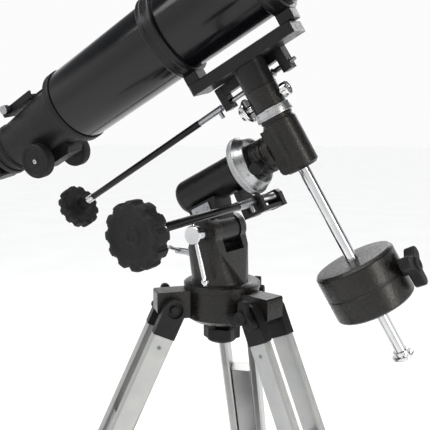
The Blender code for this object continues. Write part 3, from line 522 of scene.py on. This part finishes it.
def hand_knob(z0, f, name, body, node):
    """Twelve stepped lobes, dished face and hub."""
    seg = 240
    R = 28.0

    def lobe(k):
        t = (k % 20) / 20.0
        if t < 0.5:
            return -0.7 * (2 * t - 0.5) ** 2
        if t < 0.62:
            return -1.7
        if t < 0.86:
            return -3.0 + 0.5 * abs(t - 0.74) / 0.12
        return -1.9

    w = lambda rr, z, k: lobe(k) * max(0.0, min(1.0, (rr - 22.0) / 3.0))
    prof = [(0, z0), (8.4, z0), (9.0, z0 + 0.6), (9.0, z0 + 11.0), (14.0, z0 + 12.0), (20.0, z0 + 11.6), (25.4, z0 + 11.2), (27.3, z0 + 12.4), (R, z0 + 14.0), (R, z0 + 23.6), (27.4, z0 + 25.6), (25.4, z0 + 26.7),
            (22.4, z0 + 27.0), (20.8, z0 + 26.6), (18.0, z0 + 25.0), (13.0, z0 + 24.7), (8.0, z0 + 24.6), (7.0, z0 + 25.4), (4.6, z0 + 25.6), (3.8, z0 + 24.8), (0, z0 + 24.8)]
    piece(name, [lathe(prof, seg, f, 0.7, w)], "knob", body, [node], 0, 50)


sleeve(46.4, 178.0, F_RW, "hour_sleeve", HD, "hour_flex_shaft")
hand_knob(178.4, F_RW, "hour_hand_knob", HD, "hour_knob")

# ---------------------------------------------------------------- declination housing
DB = "declination_body"
neck = [(0, -76.0), (8.0, -76.0), (8.0, -46.0), (18.6, -46.0), (19.0, -45.5)]
for k in range(3):
    q = -43.0 + 5.6 * k
    neck += [(19.0, q), (17.9, q + 0.5), (17.9, q + 2.1), (19.0, q + 2.6)]
neck += [(19.0, -26.4), (17.3, -25.8), (17.3, -21.2), (20.3, -21.0), (20.3, -15.6), (0, -15.6)]
piece("declination_casting", [lathe(neck, 96, f_dx, 0.35),
                             hull([(x, y, z) for y in (-17.3, 17.3) for x, z in ((-16.3, -21.5), (-15.0, -24.8), (-12.0, -26.4), (4.0, -26.4), (4.0, 22.4), (-16.3, 22.4))], F_RA),
                             lathe([(6.36, -28.0), (15.0, -28.0), (18.0, -25.0), (18.0, 24.0), (17.0, 24.0), (17.0, 25.4), (16.2, 25.9), (16.2, 27.3), (17.0, 27.8), (17.0, 29.7), (15.3, 29.7), (15.3, 39.9), (17.0, 39.9), (17.0, 61.7), (8.4, 61.7), (8.4, 45.0), (6.36, 44.0)], 96, F_RA, 0.35)],
      "hammertone", DB, ["declination_housing"], 0.5)
piece("declination_dial_ring", [lathe([(15.7, 30.1), (18.6, 30.1), (19.0, 30.5), (19.0, 39.1), (18.6, 39.5), (15.7, 39.5)], 192, F_RA, 0.2)], "silver_dial", "declination_dial", ["declination_circle"])
ticks = []
for k in range(90):
    ln = 4.6 if k % 10 == 0 else (3.4 if k % 5 == 0 else 2.2)
    at = F_RA @ Matrix.Rotation(2 * math.pi * k / 90, 4, "Z") @ T((19.0, 0, 30.6))
    ticks.append(box(-0.2, 0.04, -0.13, 0.13, 0, ln, at))
nums = []
for k in range(9):
    at = F_RA @ Matrix.Rotation(2 * math.pi * (k * 10 + 0.0) / 90, 4, "Z") @ T((18.98, 0, 37.0)) @ rot(90, "Y") @ rot(90, "Z")
    nums.append(numeral(str(40 * k % 360 // 4), 2.4, at, "d%d" % k, "declination_dial"))
piece("declination_divisions", ticks + nums, "ink_and_recess_shade", "declination_dial")
f_dl = F_RA @ T((0, 0, 48.5)) @ rot(-90, "Y")
piece("declination_bell", [lathe([(0, 17.5), (4.5, 17.5), (4.5, 21.5), (12.2, 21.5), (12.6, 22.0), (13.0, 22.8), (12.6, 23.8), (11.4, 25.2), (9.6, 27.4), (8.7, 29.2), (7.9, 31.2), (6.6, 31.8), (0, 31.8)], 96, f_dl, 0.4)], "chrome", "declination_clamp", ["declination_lock"])
f_dc = F_RA @ T((0, 0, 48.5)) @ rot(90, "Y")
piece("declination_cap_disc", [lathe([(0, 17.2), (4.0, 17.2), (4.0, 19.5), (7.2, 19.5), (7.5, 20.0), (7.5, 25.3), (6.8, 26.5), (3.2, 26.5), (2.8, 25.9), (0, 25.9)], 64, f_dc, 0.3)], "chrome", DB, ["declination_stop"])
f_hl = F_RA @ T((-33.0, 0, -6.0)) @ rot(90, "X")
piece("hour_lock_head", [lathe([(0, 19.5), (3.0, 19.5), (3.0, 21.0), (6.2, 21.0), (6.5, 21.6), (6.5, 29.8), (5.5, 31.0), (0, 31.0)], 96, f_hl, 0.3, ridges(6.0, 0.4, 6))], "knob", "hour_clamp", ["hour_lock"])

# counterweight
piece("weight_rod", [lathe([(0, -249.0), (7.4, -249.0), (8.0, -248.2), (8.0, -246.2), (11.2, -246.2), (11.7, -245.6), (11.7, -244.0), (11.2, -243.4), (8.5, -243.0), (8.5, -239.0), (6.0, -239.0), (6.0, -12.5), (0, -12.5)], 72, F_RA, 0.35)], "chrome", DB, ["weight_shaft"])
piece("weight_body", [lathe([(6.35, -186.5), (39.0, -186.5), (42.0, -184.0), (42.0, -161.2), (41.3, -160.7), (41.3, -159.3), (42.0, -158.8), (42.0, -136.6), (39.4, -133.5), (6.35, -133.5)], 160, F_RA, 1.0)], "hammertone", "weight", ["counterweight"])


def wing(at, r, name, body, node, hub_r, z0, z1, hz0, hz1, stem):
    pts = []
    for k in range(3):
        a = 2 * math.pi * k / 3
        for da, rr in ((-1.02, 0.42), (-0.72, 0.47), (-0.52, 0.60), (-0.36, 0.82), (-0.27, 0.93), (-0.14, 0.985), (0.0, 1.0), (0.14, 0.985), (0.27, 0.93), (0.36, 0.82), (0.52, 0.60), (0.72, 0.47)):
            pts.append((r * rr * math.cos(a + da), r * rr * math.sin(a + da)))
    piece(name, [prism(pts, z0, z1, at), lathe([(0, hz0), (hub_r, hz0), (hub_r, hz1 - 0.8), (hub_r - 1.2, hz1), (hub_r * 0.5, hz1), (hub_r * 0.45, hz1 - 0.7), (0, hz1 - 0.7)], 64, at, 0.4)] + stem, "knob", body, [node], 1.3)


f_wk = F_RA @ T((0, 0, -160.0)) @ rot(90, "Y")
wing(f_wk, 22.0, "weight_wing_knob", "weight_clamp", "weight_knob", 7.5, 47.0, 58.0, 42.6, 60.0, [lathe([(0, 16.0), (3.0, 16.0), (3.0, 44.0), (0, 44.0)], 32, f_wk, 0.2)])

# ---------------------------------------------------------------- declination slow motion
DD = "declination_drive"
piece("declination_worm_spindle", [lathe([(0, -38.0), (1.7, -38.0), (2.0, -37.6), (2.0, -32.5), (2.8, -32.5), (2.8, -12.0)] + [(4.0 if j % 2 else 4.5, -11.0 + 1.04 * j) for j in range(25)] + [(2.8, 15.0), (2.8, 57.0), (2.2, 57.0), (2.2, 61.0), (3.7, 61.0), (3.7, 95.0), (0, 95.0)], 48, F_DW, 0.15)],
      "steel", DD, ["declination_worm"])
set_screw(F_DW @ T((0, 0, 66.0)) @ rot(-90, "Y"), "declination_shaft_screw", DD)
sleeve(95.4, 302.0, F_DW, "declination_sleeve", DD, "declination_flex_shaft")
hand_knob(302.4, F_DW, "declination_hand_knob", DD, "declination_knob")

# ---------------------------------------------------------------- tripod trim
for i, az in enumerate(LEG_AZ, 1):
    fl = leg_frame(az)
    a = rad(az)
    side = Vector((-math.sin(a), math.cos(a), 0))
    fy = frz(fl.translation, side, ZW)
    flip = fy @ rot(180, "X")
    hexa = [(5.4 * math.cos(math.pi * k / 3), 5.4 * math.sin(math.pi * k / 3)) for k in range(6)]
    wing(flip, 17.5, "leg%d_wing" % i, "leg%d_bolt" % i, "leg%d_hinge_bolt" % i, 7.0, 26.0, 34.0, 24.3, 38.0,
         [prism(hexa, 20.0, 23.4, fy), lathe([(0, -27.0), (2.9, -27.0), (2.9, 20.3), (0, 20.3)], 32, fy, 0.2)])
    piece("leg%d_washer" % i, [lathe([(3.5, CAP_OUT - 4.18), (7.8, CAP_OUT - 4.18), (7.8, CAP_OUT - 3.95), (3.5, CAP_OUT - 3.95)], 48, fy, 0)], "black_plastic", "leg%d_bolt" % i)
    for s, tag in ((1, "a"), (-1, "b")):
        yo = (CAP_OUT - 0.2) * s
        for z, t2 in ((-42.0, "top"), (-535.0, "low")):
            screw(fl @ T((0, yo, z)) @ rot(-90 * s, "X"), 2.8, 0.18 if z > -100 else 0.18, "leg%d_screw_%s_%s" % (i, tag, t2), "tripod", "steel")
        # raised rim round the bolt recess
        piece("leg%d_cap_rim_%s" % (i, tag), [lathe([(8.7, 23.2), (10.2, 23.2), (10.2, 23.88), (8.7, 23.88)], 64, fy if s > 0 else flip, 0.15)], "black_plastic", "tripod")
piece("tray_rings", [lathe([(22.0, -313.6), (24.0, -313.6), (24.0, -312.7), (22.0, -312.7)], 96, None, 0.3)], "black_plastic", "tripod")

# ---------------------------------------------------------------- camera, floor and light
cam = bpy.data.objects.new("camera", bpy.data.cameras.new("camera"))
bpy.context.scene.collection.objects.link(cam)
cam.data.sensor_width = 36.0
cam.data.lens = 50.23
cam.data.clip_start = 0.01
cam.location = (0.266585, -0.568375, 0.766)
cam.rotation_euler = (rad(82.8), 0, rad(34.4))
bpy.context.scene.camera = cam

floor_mat, nt, b, v = principled("floor_pale", (0.9, 0.9, 0.9), 0.0, 0.6, 0.0, 0.2)
nt.links.new(ramp(nt, noise(nt, v, 3, 3), [(0.3, (0.90, 0.90, 0.90)), (0.7, (0.93, 0.93, 0.93))]), b.inputs["Base Color"])
nt.links.new(remap(nt, noise(nt, v, 12, 3), 0.5, 0.62), b.inputs["Roughness"])
me = bpy.data.meshes.new("floor")
S = 60.0
me.from_pydata([(-S, -S, -0.0005), (S, -S, -0.0005), (S, S, -0.0005), (-S, S, -0.0005)], [], [(0, 1, 2, 3)])
me.materials.append(floor_mat)
floor = bpy.data.objects.new("floor", me)
bpy.context.scene.collection.objects.link(floor)

world = bpy.data.worlds.new("studio")
bpy.context.scene.world = world
world.use_nodes = True
wt = world.node_tree
bg = wt.nodes["Background"]
bg.inputs["Strength"].default_value = 1.0
tc = wt.nodes.new("ShaderNodeTexCoord")
sp = wt.nodes.new("ShaderNodeSeparateXYZ")
wt.links.new(tc.outputs["Generated"], sp.inputs["Vector"])
sky = ramp(wt, sp.outputs["Z"], [(0.0, (0.97, 0.97, 0.97)), (0.24, (0.97, 0.97, 0.97)), (0.42, (0.16, 0.165, 0.17)), (0.75, (0.10, 0.105, 0.11)), (1.0, (0.5, 0.5, 0.5))])
wt.links.new(sky, bg.inputs["Color"])


def area(name, loc, target, sx, sy, power, colour=(1, 1, 1)):
    d = bpy.data.lights.new(name, "AREA")
    d.shape = "RECTANGLE"
    d.size, d.size_y = sx, sy
    d.energy = power
    d.color = colour
    o = bpy.data.objects.new(name, d)
    bpy.context.scene.collection.objects.link(o)
    o.location = loc
    o.rotation_euler = (Vector(target) - Vector(loc)).to_track_quat("-Z", "Y").to_euler()
    return o


area("key", (-1.1, -1.5, 2.1), (0.0, 0.0, 0.75), 1.1, 1.1, 15)
area("side", (1.7, -0.4, 1.0), (0.0, 0.0, 0.7), 0.5, 1.2, 14, (1.0, 0.95, 0.88))
area("back", (-0.6, 1.8, 1.7), (0.0, 0.0, 0.8), 1.4, 0.8, 12)
sun = bpy.data.lights.new("overhead", "SUN")
sun.energy = 2.5
sun.angle = rad(60)
so = bpy.data.objects.new("overhead", sun)
bpy.context.scene.collection.objects.link(so)
so.rotation_euler = (rad(12), rad(-8), 0)
bpy.context.scene.view_settings.view_transform = "Standard"
